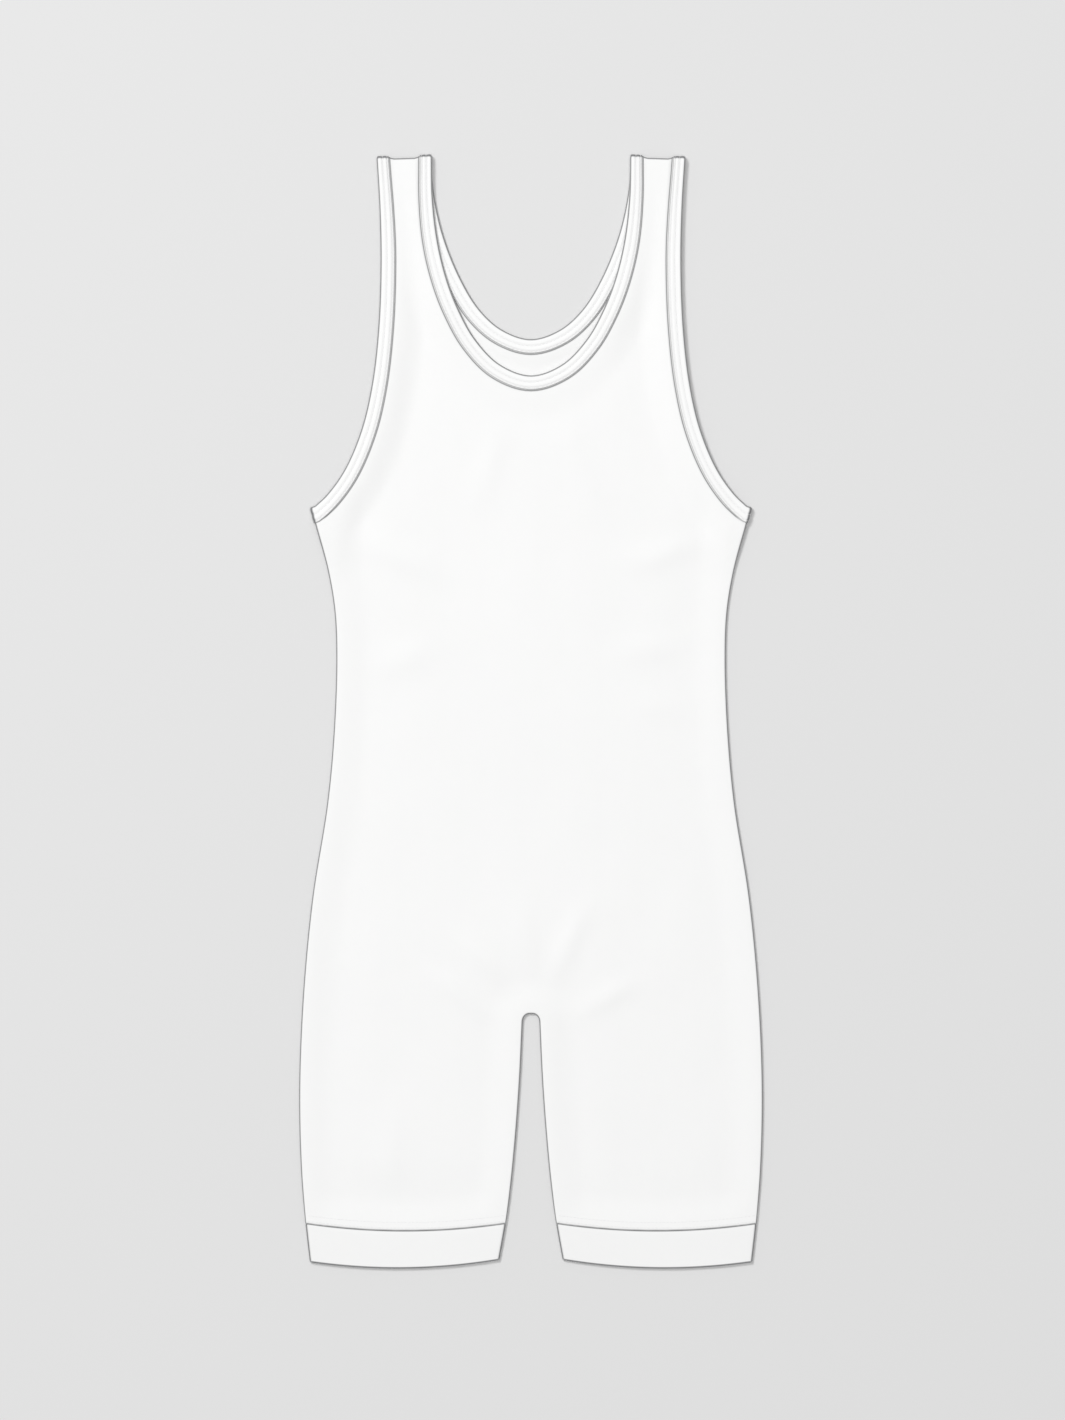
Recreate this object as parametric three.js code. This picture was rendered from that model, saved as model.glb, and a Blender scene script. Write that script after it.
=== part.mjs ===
import * as THREE from "three";

// A wrestling singlet laid flat, front up, in millimetres: +Y towards the shoulders, +Z up from the surface.
// A front and a back panel meet at the shoulders, sides and inseams, where both roll round half of the fold.
// One folded binding runs right round the neck and one round each armhole, and a doubled band ends each leg.

// Driving sizes. Drops are measured down from the top of the shoulder fold, halves out from the centre line.
const bodyLength = 900;
const clothWall = 1.0;
const bindingWall = 1.0;
const bandWall = 2.0;
const seamGap = 0.3;
const bindingWidth = { shoulder: 9.8, body: 11.6, fullBelow: 90 };
// How the strip's two long edges are turned, and how its nose over the raw cloth is rounded.
const turnedEdge = { run: 0.7, fall: 0.3 };
const bindingNose = { from: 0.4, shoulder: 0.35, height: 0.62 };

// How far cloth stays level inside an edge, and how far further in it has come down onto what is below.
const settle = { boundFlat: 10.8, foldFlat: 1.5, hemFlat: 2, reach: { front: 26, back: 14 } };
// Between the bindings the cloth's own fold over the shoulder lies this much lower than its ends.
const shoulderDip = 1.2;

// Number of grid steps along each stretch of a panel, across half of it, and round a quarter of a fold.
const steps = { neck: 13, chest: 5, body: 12, arch: 3, leg: 6, across: 10, fold: 3, band: 12 };
const centreEase = 1.3;

// The edges seen in the picture, each as its own short table.
const frontNeckEdge = [
  { drop: 0, half: 80.0 },
  { drop: 35, half: 79.2 },
  { drop: 70, half: 75.2 },
  { drop: 101, half: 67.8 },
  { drop: 126, half: 58.2 },
  { drop: 150, half: 44.6 },
  { drop: 170, half: 24.8 },
  { drop: 178.7, half: 0 },
];
const backNeckEdge = [
  { drop: 0, half: 80.0 },
  { drop: 29, half: 78.6 },
  { drop: 65, half: 70.9 },
  { drop: 101, half: 56.5 },
  { drop: 126, half: 41.0 },
  { drop: 142, half: 22.8 },
  { drop: 149.3, half: 0 },
];
const armholeEdge = [
  { drop: 1.5, half: 124.9 },
  { drop: 45, half: 122.4 },
  { drop: 90, half: 121.6 },
  { drop: 140, half: 123.4 },
  { drop: 186, half: 128.6 },
  { drop: 223, half: 137.2 },
  { drop: 255, half: 150.7 },
  { drop: 275, half: 164.8 },
  { drop: 285, half: 175.3 },
];
const sideEdge = [
  { at: "underarm", drop: 285.3, half: 177.9 },
  { at: "below the binding", drop: 300, half: 174.2 },
  { at: "ribs", drop: 336, half: 164.4 },
  { at: "high waist", drop: 370, half: 158.8 },
  { at: "waist", drop: 409, half: 157.4 },
  { at: "belly", drop: 470, half: 159.7 },
  { at: "hip bone", drop: 525, half: 164.9 },
  { at: "hip", drop: 600, half: 176.7 },
  { at: "seat", drop: 676, half: 184.1 },
  { at: "thigh", drop: 755, half: 187.4 },
  { at: "lower thigh", drop: 821, half: 185.9 },
  { at: "band seam", drop: 864.3, half: 182.3 },
  { at: "hem", drop: 895.5, half: 178.8 },
];
const inseamEdge = [
  { at: "arch side", drop: 701, half: 6.6 },
  { at: "upper leg", drop: 748, half: 8.8 },
  { at: "middle leg", drop: 797, half: 12.4 },
  { at: "lower leg", drop: 836, half: 16.3 },
  { at: "band seam", drop: 864.3, half: 20.2 },
  { at: "hem", drop: 893.8, half: 25.4 },
];
const crotchArch = { drop: 694.6, flatHalf: 1.2 };
const bandSag = { seam: 5.7, hem: 5.7 };

// Heights of the middle of each cloth above the surface, where it is open cloth and at each kind of edge.
const boundThickness = clothWall + 2 * (seamGap + bindingWall);
const level = {
  open: { front: clothWall * 1.5 + seamGap, back: clothWall / 2 },
  bound: { front: boundThickness * 1.5 + seamGap, back: boundThickness / 2 },
  fold: { front: clothWall / 2 + 3.0, back: clothWall / 2 },
  hem: { front: bandWall * 1.5 + seamGap, back: bandWall / 2 },
  neckCentre: { front: clothWall + seamGap + boundThickness / 2, back: boundThickness / 2 },
};
// The front neckline steps down off the back neck binding between these two drops.
const neckStep = { from: 108, to: 178 };
// The side seam loses the height of the armhole binding between these two distances down from the underarm.
const sideStep = { from: 14, to: 62 };
const hemStep = 34;

const up = new THREE.Vector3(0, 0, 1);
const mix = THREE.MathUtils.lerp;
const smooth = THREE.MathUtils.smoothstep;

function place({ drop, half }) {
  return new THREE.Vector3(half, bodyLength / 2 - drop, 0);
}

function dropOf(point) {
  return bodyLength / 2 - point.y;
}

function curveThrough(table) {
  return new THREE.CatmullRomCurve3(table.map(place), false, "centripetal");
}

// A neckline is drawn whole, so that it crosses the centre line square. Its first half is the wearer's left.
function neckCurve(table) {
  const mirrored = table.slice(0, -1).map(({ drop, half }) => ({ drop, half: -half }));
  return curveThrough([...table, ...mirrored.reverse()]);
}

// Evenly spaced points of a curve between two shares of its length, each with its sideways direction in plan.
function pointsAlong(curve, from, to, count) {
  return Array.from({ length: count + 1 }, (_, i) => {
    const share = mix(from, to, i / count);
    const tangent = curve.getTangentAt(share);
    return { point: curve.getPointAt(share), beside: new THREE.Vector3(tangent.y, -tangent.x, 0) };
  });
}

function moved({ point, beside }, distance) {
  return point.clone().addScaledVector(beside, distance);
}

// Share of the curve's length at which its drop is reached, found by halving.
function shareAtDrop(curve, drop, end = 1) {
  let low = 0;
  let high = end;
  for (let i = 0; i < 40; i++) {
    const middle = (low + high) / 2;
    if (dropOf(curve.getPointAt(middle)) < drop) low = middle;
    else high = middle;
  }
  return low;
}

// A bound edge's cloth ends inside its binding, whose nose and fold reach past it. Each point of such a run
// has the direction to the hole, and a second point at the inner side of the level strip of cloth.
const rawInset = bindingWall + seamGap;
const bindingRoll = (level.bound.front - level.bound.back) / 2 - seamGap / 2 + boundThickness / 2;

function neckRun(table) {
  const curve = neckCurve(table);
  const top = shareAtDrop(curve, table[0].drop + bindingRoll, 0.5);
  return pointsAlong(curve, top, 0.5, steps.neck).map((edge, i) => ({
    point: moved(edge, -rawInset).setX(i === steps.neck ? 0 : edge.point.x - edge.beside.x * rawInset),
    hole: edge.beside,
    inside: moved(edge, -rawInset - settle.boundFlat),
  }));
}

// The armhole's cloth runs down to the corner where the side seam starts, and its level strip ends
// on that seam.
function armholeRun(corner, belowCorner) {
  const curve = curveThrough(armholeEdge);
  const top = shareAtDrop(curve, armholeEdge[0].drop + bindingRoll);
  const last = steps.neck + steps.chest;
  return pointsAlong(curve, top, 1, last).map((edge, i) => ({
    point: i === last ? corner : moved(edge, rawInset),
    hole: edge.beside.clone().negate(),
    inside: i === last ? belowCorner : moved(edge, rawInset + settle.boundFlat),
  }));
}

// Heights along the folded side, from its distance below the underarm and above the band.
function sideLevel(drop) {
  const below = drop - sideEdge[0].drop;
  const above = sideEdge.at(-2).drop - drop;
  const leavesBinding = smooth(below, sideStep.from, sideStep.to);
  const nearsHem = 1 - smooth(above, 0, hemStep);
  const at = (face) =>
    mix(mix(level.bound[face], level.fold[face], leavesBinding), level.hem[face], nearsHem);
  return {
    front: at("front"),
    back: at("back"),
    flat: mix(settle.boundFlat, settle.foldFlat, leavesBinding),
  };
}

function inseamLevel(drop) {
  const nearsHem = 1 - smooth(inseamEdge.at(-2).drop - drop, 0, hemStep);
  const at = (face) => mix(level.fold[face], level.hem[face], nearsHem);
  return { front: at("front"), back: at("back"), flat: settle.foldFlat };
}

// Distance from the outline in to the line where the cloth starts to roll over.
function rollOf({ front, back }) {
  return (front - back) / 2 - seamGap / 2 + clothWall / 2;
}

function sideRun() {
  const curve = curveThrough(sideEdge);
  const seam = shareAtDrop(curve, sideEdge.at(-2).drop);
  const belowBinding = shareAtDrop(curve, sideEdge[0].drop + sideStep.from);
  const count = steps.body + steps.arch + steps.leg;
  const corner = pointsAlong(curve, 0, 0, 1)[0];
  return [corner, ...pointsAlong(curve, belowBinding, seam, count)].map((edge) => {
    const heights = sideLevel(dropOf(edge.point));
    return { point: moved(edge, rollOf(heights)), out: edge.beside.clone().negate(), heights };
  });
}

// The inner edge of the leg: half of the arch over the crotch, then the inseam down to the band.
function archRun() {
  const first = place(inseamEdge[0]);
  const top = place({ drop: crotchArch.drop, half: 0 });
  const radius = { x: first.x - crotchArch.flatHalf, y: top.y - first.y };
  return Array.from({ length: steps.arch + 1 }, (_, i) => {
    const turn = (i / steps.arch) * (Math.PI / 2);
    const x = i === 0 ? 0 : crotchArch.flatHalf + radius.x * Math.sin(turn);
    const y = first.y + radius.y * Math.cos(turn);
    const out = new THREE.Vector3(-Math.sin(turn), -Math.cos(turn), 0);
    const heights = inseamLevel(crotchArch.drop);
    const point = new THREE.Vector3(x, y, 0).addScaledVector(out, -rollOf(heights));
    return { point, out, heights };
  });
}

function inseamRun() {
  const curve = curveThrough(inseamEdge);
  const seam = shareAtDrop(curve, inseamEdge.at(-2).drop);
  return pointsAlong(curve, 0, seam, steps.leg).map((edge) => {
    const heights = inseamLevel(dropOf(edge.point));
    return { point: moved(edge, -rollOf(heights)), out: edge.beside.clone(), heights };
  });
}

// Points down the centre line, closer together below the neck, where the cloth settles.
function centreRun(neckBottom, archTop) {
  const count = steps.chest + steps.body;
  return Array.from({ length: count + 1 }, (_, i) =>
    neckBottom.clone().lerp(archTop, (i / count) ** centreEase).setX(0),
  );
}

// The height of a bound neckline: the front one comes down from over the back binding onto the back cloth.
function neckLevel(face, drop) {
  return mix(level.bound[face], level.neckCentre[face], smooth(drop, neckStep.from, neckStep.to));
}

const side = sideRun();
const armhole = armholeRun(side[0].point, side[1].point);
const arch = archRun();
const inseam = inseamRun();
const necks = { front: neckRun(frontNeckEdge), back: neckRun(backNeckEdge) };
const alongShoulder = new THREE.Vector3().subVectors(armhole[0].point, necks.front[0].point).normalize();
const shoulderOut = alongShoulder.clone().cross(up).negate();
// On the shoulder line the level strips lie along it, and on the centre line straight below the neck.
armhole[0].inside = armhole[0].point.clone().addScaledVector(alongShoulder, -settle.boundFlat);
for (const neck of Object.values(necks)) {
  neck[0].inside = neck[0].point.clone().addScaledVector(alongShoulder, settle.boundFlat);
  neck.at(-1).inside.setX(0);
}

// The outline of one face as points with their height and level width, for finding the nearest edge.
function outlineOf(face) {
  const bound = { flat: settle.boundFlat };
  const shoulder = [0, 0.25, 0.5, 0.75, 1].map((share) => ({
    point: necks[face][0].point.clone().lerp(armhole[0].point, share),
    z: level.bound[face],
    ...bound,
  }));
  const neck = necks[face].map(({ point }) => ({ point, z: neckLevel(face, dropOf(point)), ...bound }));
  const arm = armhole.map(({ point }) => ({ point, z: level.bound[face], ...bound }));
  const edgeOf = ({ point, heights }) => ({ point, z: heights[face], flat: heights.flat });
  const hem = [0, 0.25, 0.5, 0.75, 1].map((share) => ({
    point: hemPoint(share),
    z: level.hem[face],
    flat: settle.hemFlat,
  }));
  return [shoulder, neck, arm, side.map(edgeOf), [...arch, ...inseam].map(edgeOf), hem];
}

function hemPoint(share) {
  const point = inseam.at(-1).point.clone().lerp(side.at(-1).point, share);
  return point.setY(point.y - bowAt(share, bandSag.seam) + seamGap / 2);
}

function bowAt(share, sag) {
  return 4 * share * (1 - share) * sag;
}

// Height of a face at a place in plan, from the nearest point of its outline.
function heightAt(face, outline, x, y) {
  let best = { distance: Infinity, z: level.open[face], flat: 0 };
  for (const run of outline) {
    for (let i = 0; i + 1 < run.length; i++) {
      const a = run[i];
      const b = run[i + 1];
      const dx = b.point.x - a.point.x;
      const dy = b.point.y - a.point.y;
      const along = ((x - a.point.x) * dx + (y - a.point.y) * dy) / Math.max(dx * dx + dy * dy, 1e-9);
      const share = THREE.MathUtils.clamp(along, 0, 1);
      const distance = Math.hypot(x - a.point.x - share * dx, y - a.point.y - share * dy);
      if (distance < best.distance)
        best = { distance, z: mix(a.z, b.z, share), flat: mix(a.flat, b.flat, share) };
    }
  }
  const near = 1 - smooth(best.distance, best.flat, best.flat + settle.reach[face]);
  return mix(level.open[face], best.z, near);
}

// Collects a cloth's middle surface, as points with normals and four-sided faces, and gives it its wall.
class Cloth {
  constructor() {
    this.points = [];
    this.normals = [];
    this.faces = [];
    this.ids = new Map();
  }

  add(point, normal) {
    const key = [point.x, point.y, point.z].map((value) => Math.round(value * 1000)).join();
    if (!this.ids.has(key)) {
      this.ids.set(key, this.points.length);
      this.points.push(point.clone());
      this.normals.push(normal.clone());
    }
    return this.ids.get(key);
  }

  // Adds the cells of a grid given as rows of ids; rows run from the top down and across from the inside out.
  addGrid(rows, facesDown) {
    for (let i = 0; i + 1 < rows.length; i++)
      for (let j = 0; j + 1 < rows[i].length; j++) {
        const cell = [rows[i][j], rows[i + 1][j], rows[i + 1][j + 1], rows[i][j + 1]];
        this.faces.push(facesDown ? cell.reverse() : cell);
      }
  }

  mirror() {
    const flip = (v) => new THREE.Vector3(-v.x, v.y, v.z);
    const twin = this.points.map((point, i) => [flip(point), flip(this.normals[i])]);
    const ids = twin.map(([point, normal]) => this.add(point, normal));
    this.faces.push(...this.faces.map((face) => face.map((id) => ids[id]).reverse()));
  }

  thicken(wall) {
    const count = this.points.length;
    const positions = [];
    for (const sign of [1, -1])
      this.points.forEach((point, i) => {
        positions.push(...point.clone().addScaledVector(this.normals[i], (sign * wall) / 2).toArray());
      });
    const index = [];
    const open = new Map();
    for (const face of this.faces) {
      const inner = face.map((id) => id + count).reverse();
      for (const [a, b, c, d] of [face, inner]) index.push(a, b, c, a, c, d);
      face.forEach((a, k) => {
        const b = face[(k + 1) % face.length];
        if (!open.delete(b + "," + a)) open.set(a + "," + b, [a, b]);
      });
    }
    for (const [a, b] of open.values()) index.push(b, a, a + count, b, a + count, b + count);
    const geometry = new THREE.BufferGeometry();
    geometry.setAttribute("position", new THREE.Float32BufferAttribute(positions, 3));
    geometry.setIndex(index);
    geometry.computeVertexNormals();
    return geometry;
  }
}

// The points round a quarter of a fold, from the level cloth to the seam, for one place on the edge.
function quarterRoll(point, out, heights, face) {
  const sign = face === "front" ? 1 : -1;
  const middle = (heights.front + heights.back) / 2 + (sign * seamGap) / 2;
  const radius = (heights.front - heights.back) / 2 - seamGap / 2;
  return Array.from({ length: steps.fold + 1 }, (_, k) => {
    const turn = (k / steps.fold) * (Math.PI / 2);
    const normal = out.clone().multiplyScalar(Math.sin(turn)).addScaledVector(up, sign * Math.cos(turn));
    const rolled = point.clone().setZ(middle).addScaledVector(normal, radius);
    return { point: rolled, normal };
  });
}

const boundFold = { front: level.bound.front, back: level.bound.back };

function panelGeometry(face) {
  const facesDown = face === "back";
  const outline = outlineOf(face);
  const outward = up.clone().multiplyScalar(facesDown ? -1 : 1);
  const cloth = new Cloth();
  const lay = (point) =>
    cloth.add(new THREE.Vector3(point.x, point.y, heightAt(face, outline, point.x, point.y)), outward);

  const neck = necks[face];
  const neckStrip = neck.map(({ point, inside }) => [lay(point), lay(inside)]);
  const armStrip = armhole.map(({ point, inside }) => [lay(inside), lay(point)]);
  cloth.addGrid(neckStrip, facesDown);
  cloth.addGrid(armStrip, facesDown);

  const innerEdges = [...arch, ...inseam.slice(1)];
  const centre = centreRun(neck.at(-1).inside, arch[0].point).slice(1, -1);
  const inner = [...neck.map(({ inside }) => inside), ...centre, ...innerEdges.map(({ point }) => point)];
  const outer = [...armhole.map(({ inside }) => inside), ...side.slice(2).map(({ point }) => point)];
  const firstFold = steps.neck + steps.chest + steps.body;
  const rows = inner.map((start, i) => {
    const towardsHem = Math.max(0, i - firstFold) / (inner.length - 1 - firstFold);
    const sag = bandSag.seam * towardsHem;
    const lowered = (i === 0 ? -shoulderDip : 0) + (i === inner.length - 1 ? seamGap / 2 : 0);
    return Array.from({ length: steps.across + 1 }, (_, j) => {
      const share = (1 - Math.cos((j / steps.across) * Math.PI)) / 2;
      const point = start.clone().lerp(outer[i], share);
      const within = j > 0 && j < steps.across;
      point.y += (within || i > 0 ? lowered : 0) - bowAt(share, sag);
      return lay(point);
    });
  });
  cloth.addGrid(rows, facesDown);

  const roll = (id, out, heights) =>
    quarterRoll(cloth.points[id], out, heights, face).map(({ point, normal }, k) =>
      k === 0 ? id : cloth.add(point, normal),
    );
  const sideIds = [armStrip.at(-1)[1], ...rows.slice(armhole.length - 1).map((row) => row.at(-1))];
  cloth.addGrid(sideIds.map((id, i) => roll(id, side[i].out, side[i].heights)), facesDown);
  const innerIds = rows.slice(firstFold).map((row) => row[0]);
  const foldedInseam = innerIds.map((id, i) => roll(id, innerEdges[i].out, innerEdges[i].heights).reverse());
  cloth.addGrid(foldedInseam, facesDown);
  const shoulderIds = [neckStrip[0][0], ...rows[0], armStrip[0][1]];
  const overShoulder = shoulderIds.map((id) => roll(id, shoulderOut, boundFold));
  const shoulderRows = Array.from({ length: steps.fold + 1 }, (_, k) => overShoulder.map((ids) => ids[k]));
  cloth.addGrid(shoulderRows.reverse(), facesDown);

  cloth.mirror();
  return cloth.thicken(clothWall);
}

// The cut end of a folded strip: along the strip's depth from its nose, and across its thickness.
function bindingSection(width) {
  const slot = clothWall / 2 + seamGap;
  const outer = slot + bindingWall;
  const depth = rawInset - width;
  return [
    { along: depth, across: slot },
    { along: depth, across: outer - turnedEdge.fall },
    { along: depth + turnedEdge.run, across: outer },
    { along: -bindingNose.from, across: outer },
    { along: rawInset - bindingNose.shoulder, across: outer * bindingNose.height },
    { along: rawInset, across: 0 },
    { along: rawInset - bindingNose.shoulder, across: -outer * bindingNose.height },
    { along: -bindingNose.from, across: -outer },
    { along: depth + turnedEdge.run, across: -outer },
    { along: depth, across: turnedEdge.fall - outer },
    { along: depth, across: -slot },
    { along: seamGap, across: -slot },
    { along: seamGap, across: slot },
  ];
}

// Sweeps the folded strip round a closed loop of stations. Where it crosses a seam at a slant, its section
// is stretched.
function bindingGeometry(stations) {
  const positions = [];
  const index = [];
  const size = bindingSection(bindingWidth.body).length;
  for (const { point, normal, hole, stretch = 1 } of stations) {
    const fullness = smooth(dropOf(point), 0, bindingWidth.fullBelow);
    for (const { along, across } of bindingSection(mix(bindingWidth.shoulder, bindingWidth.body, fullness))) {
      const corner = point.clone().addScaledVector(hole, along * stretch).addScaledVector(normal, across);
      positions.push(...corner.toArray());
    }
  }
  stations.forEach((_, i) => {
    const here = i * size;
    const next = ((i + 1) % stations.length) * size;
    for (let k = 0; k < size; k++) {
      const m = (k + 1) % size;
      index.push(here + k, next + k, next + m, here + k, next + m, here + m);
    }
  });
  const geometry = new THREE.BufferGeometry();
  geometry.setAttribute("position", new THREE.Float32BufferAttribute(positions, 3));
  geometry.setIndex(index);
  geometry.computeVertexNormals();
  return geometry;
}

// The strip's stations over a fold, from the front cloth round to the back cloth.
function stationsRound(point, out, hole) {
  const front = quarterRoll(point, out, boundFold, "front");
  const back = quarterRoll(point, out, boundFold, "back").reverse();
  return [...front, ...back].map((at) => ({ ...at, hole }));
}

function levelStations(run, face, heightOf) {
  const normal = up.clone().multiplyScalar(face === "front" ? 1 : -1);
  return run.map(({ point, hole }) => ({
    point: point.clone().setZ(heightOf(dropOf(point))),
    normal,
    hole,
  }));
}

function mirroredStations(stations) {
  const flip = (v) => new THREE.Vector3(-v.x, v.y, v.z);
  return stations
    .map(({ point, normal, hole }) => ({ point: flip(point), normal: flip(normal), hole: flip(hole) }))
    .reverse();
}

function neckBinding() {
  const over = stationsRound(necks.front[0].point, shoulderOut, alongShoulder.clone().negate());
  const front = levelStations(necks.front.slice(1), "front", (drop) => neckLevel("front", drop)).reverse();
  const back = levelStations(necks.back.slice(1), "back", (drop) => neckLevel("back", drop));
  const half = [...front, ...over, ...back];
  const other = mirroredStations(half).slice(1, -1);
  return bindingGeometry([...half, ...other]);
}

function armholeBinding() {
  const over = stationsRound(armhole[0].point, shoulderOut, alongShoulder);
  const underarmHole = new THREE.Vector3().crossVectors(side[0].out, up).normalize().negate();
  const stretch = 1 / armhole.at(-1).hole.dot(underarmHole);
  const under = stationsRound(side[0].point, side[0].out, underarmHole).map((at) => ({ ...at, stretch }));
  const front = levelStations(armhole.slice(1, -1), "front", () => level.bound.front);
  const back = levelStations(armhole.slice(1, -1), "back", () => level.bound.back);
  return bindingGeometry([...front, ...under, ...back.reverse(), ...over.reverse()]);
}

// A leg band: a flattened ring whose doubled wall hangs from the seam and ends in a rounded fold.
function legBand() {
  const curves = { outer: curveThrough(sideEdge), inner: curveThrough(inseamEdge) };
  const heights = { front: level.hem.front, back: level.hem.back };
  const radius = (heights.front - heights.back) / 2;
  const roll = radius + bandWall / 2;
  const seam = {
    outer: shareAtDrop(curves.outer, sideEdge.at(-2).drop),
    inner: shareAtDrop(curves.inner, inseamEdge.at(-2).drop),
  };
  const edgeAt = (name, down) => pointsAlong(curves[name], mix(seam[name], 1, down), 1, 1)[0];
  const rows = [0, 0.5, 1].map((down) => ({
    outer: moved(edgeAt("outer", down), roll),
    inner: moved(edgeAt("inner", down), -roll),
    sag: mix(bandSag.seam, bandSag.hem, down),
    shift: down === 0 ? -seamGap / 2 : 0,
  }));
  const cloth = new Cloth();
  const ring = ({ outer, inner, sag, shift }) => {
    const across = outer.clone().sub(inner);
    const out = across.clone().normalize();
    const faceRow = (face) =>
      Array.from({ length: steps.band + 1 }, (_, i) => {
        const share = i / steps.band;
        const point = inner.clone().lerp(outer, share).setZ(heights[face]);
        point.y += shift - bowAt(share, sag);
        return { point, normal: up.clone().multiplyScalar(face === "front" ? 1 : -1) };
      });
    const end = (at, direction) =>
      Array.from({ length: steps.fold * 2 - 1 }, (_, k) => {
        const turn = ((k + 1) / (steps.fold * 2)) * Math.PI;
        const normal = direction.clone().multiplyScalar(Math.sin(turn)).addScaledVector(up, Math.cos(turn));
        const point = at.clone().setZ((heights.front + heights.back) / 2);
        point.y += shift;
        return { point: point.addScaledVector(normal, radius), normal };
      });
    return [
      ...faceRow("front"),
      ...end(outer, out),
      ...faceRow("back").reverse(),
      ...end(inner, out.clone().negate()).reverse(),
    ].map(({ point, normal }) => cloth.add(point, normal));
  };
  const ids = rows.map(ring).map((row) => [...row, row[0]]);
  cloth.addGrid(ids, false);
  return cloth.thicken(bandWall);
}

// The wearer's right side is the left one mirrored, with its faces turned back outwards.
function mirroredGeometry(geometry) {
  const twin = geometry.clone().scale(-1, 1, 1);
  const index = twin.getIndex().array;
  for (let i = 0; i < index.length; i += 3) [index[i + 1], index[i + 2]] = [index[i + 2], index[i + 1]];
  twin.computeVertexNormals();
  return twin;
}

function material(name, color, roughness) {
  return new THREE.MeshStandardMaterial({ name, color, roughness, metalness: 0 });
}

const bodyCloth = material("body cloth", 0xf2f2f0, 0.62);
const bindingCloth = material("binding cloth", 0xf4f4f3, 0.55);
const bandCloth = material("band cloth", 0xf0f0ee, 0.58);

const singlet = new THREE.Group();
singlet.name = "singlet";

function addPiece(name, geometry, cloth) {
  const piece = new THREE.Mesh(geometry, cloth);
  piece.name = name;
  singlet.add(piece);
}

addPiece("front_panel", panelGeometry("front"), bodyCloth);
addPiece("back_panel", panelGeometry("back"), bodyCloth);
addPiece("neck_binding", neckBinding(), bindingCloth);
const leftArmhole = armholeBinding();
addPiece("armhole_binding_left", leftArmhole, bindingCloth);
addPiece("armhole_binding_right", mirroredGeometry(leftArmhole), bindingCloth);
const leftBand = legBand();
addPiece("leg_band_left", leftBand, bandCloth);
addPiece("leg_band_right", mirroredGeometry(leftBand), bandCloth);

export default singlet;
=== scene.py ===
# A wrestling singlet laid flat, front up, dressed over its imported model.
# Lengths are worked out in millimetres, and each finished mesh is brought to metres.
import bisect
import math

import bmesh
import bpy
from mathutils import Matrix, Vector, noise
from mathutils.kdtree import KDTree


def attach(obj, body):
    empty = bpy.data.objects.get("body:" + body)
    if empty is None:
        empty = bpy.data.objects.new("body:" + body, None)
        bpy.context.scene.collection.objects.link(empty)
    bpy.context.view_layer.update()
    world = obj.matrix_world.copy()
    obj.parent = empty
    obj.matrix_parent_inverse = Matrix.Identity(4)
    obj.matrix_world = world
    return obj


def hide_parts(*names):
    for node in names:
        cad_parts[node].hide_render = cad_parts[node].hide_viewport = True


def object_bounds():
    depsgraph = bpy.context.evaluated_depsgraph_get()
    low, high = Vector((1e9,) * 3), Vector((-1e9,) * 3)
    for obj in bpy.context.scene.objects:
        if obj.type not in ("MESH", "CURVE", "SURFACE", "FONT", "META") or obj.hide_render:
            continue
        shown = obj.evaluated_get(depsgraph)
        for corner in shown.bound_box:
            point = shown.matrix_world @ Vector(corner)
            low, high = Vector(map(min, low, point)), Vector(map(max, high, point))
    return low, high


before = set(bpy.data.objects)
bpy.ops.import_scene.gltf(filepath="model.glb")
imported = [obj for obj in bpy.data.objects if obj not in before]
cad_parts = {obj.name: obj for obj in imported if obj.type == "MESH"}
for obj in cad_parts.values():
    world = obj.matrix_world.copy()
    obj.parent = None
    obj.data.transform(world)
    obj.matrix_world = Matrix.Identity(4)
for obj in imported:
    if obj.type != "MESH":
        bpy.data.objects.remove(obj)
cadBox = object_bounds()
mm = 0.001
up = Vector((0, 0, 1))

# Sizes that more than one piece follows. A flat is how far cloth stays level inside an edge, and settle is
# how much further in it has come down onto what it lies on.
garment = {
    "topY": cadBox[1].y / mm,
    "wall": 1.0,
    "gap": 0.3,
    "bindingWall": 1.0,
    "bandWall": 2.0,
    "boundFlat": 10.8,
    "stripWide": 12.8,
    "foldFlat": 1.5,
    "hemFlat": 2.0,
    "foldRise": 3.0,
    "settle": {"front": 26, "back": 14},
    "seamSag": 5.7,
    "hemSag": 5.7,
}

# The edges of the left half as knots: the drop from the top of the shoulder, and the half width.
edgeKnots = {
    "frontNeck": [
        (0, 80), (35, 79.2), (70, 75.2), (101, 67.8), (126, 58.2), (150, 44.6), (170, 24.8), (178.7, 0),
    ],
    "backNeck": [(0, 80), (29, 78.6), (65, 70.9), (101, 56.5), (126, 41), (142, 22.8), (149.3, 0)],
    "armhole": [
        (1.5, 124.9), (45, 122.4), (90, 121.6), (140, 123.4), (186, 128.6),
        (223, 137.2), (255, 150.7), (275, 164.8), (285, 175.3),
    ],
    "side": [
        (285.3, 177.9), (300, 174.2), (336, 164.4), (370, 158.8), (409, 157.4), (470, 159.7), (525, 164.9),
        (600, 176.7), (676, 184.1), (755, 187.4), (821, 185.9), (864.3, 182.3), (895.5, 178.8),
    ],
    "inseam": [(701, 6.6), (748, 8.8), (797, 12.4), (836, 16.3), (864.3, 20.2), (893.8, 25.4)],
}
crotch = {"drop": 694.6, "flatHalf": 1.2}
bandSeam = 864.3

bindingWidth = {"shoulder": 9.8, "body": 11.6, "fullBelow": 90}
turnWithin = 14  # the armhole binding turns to the side over this length
hemRows = {"count": 6, "step": 0.4}  # fine rows of each panel, just above the band seam

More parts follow.
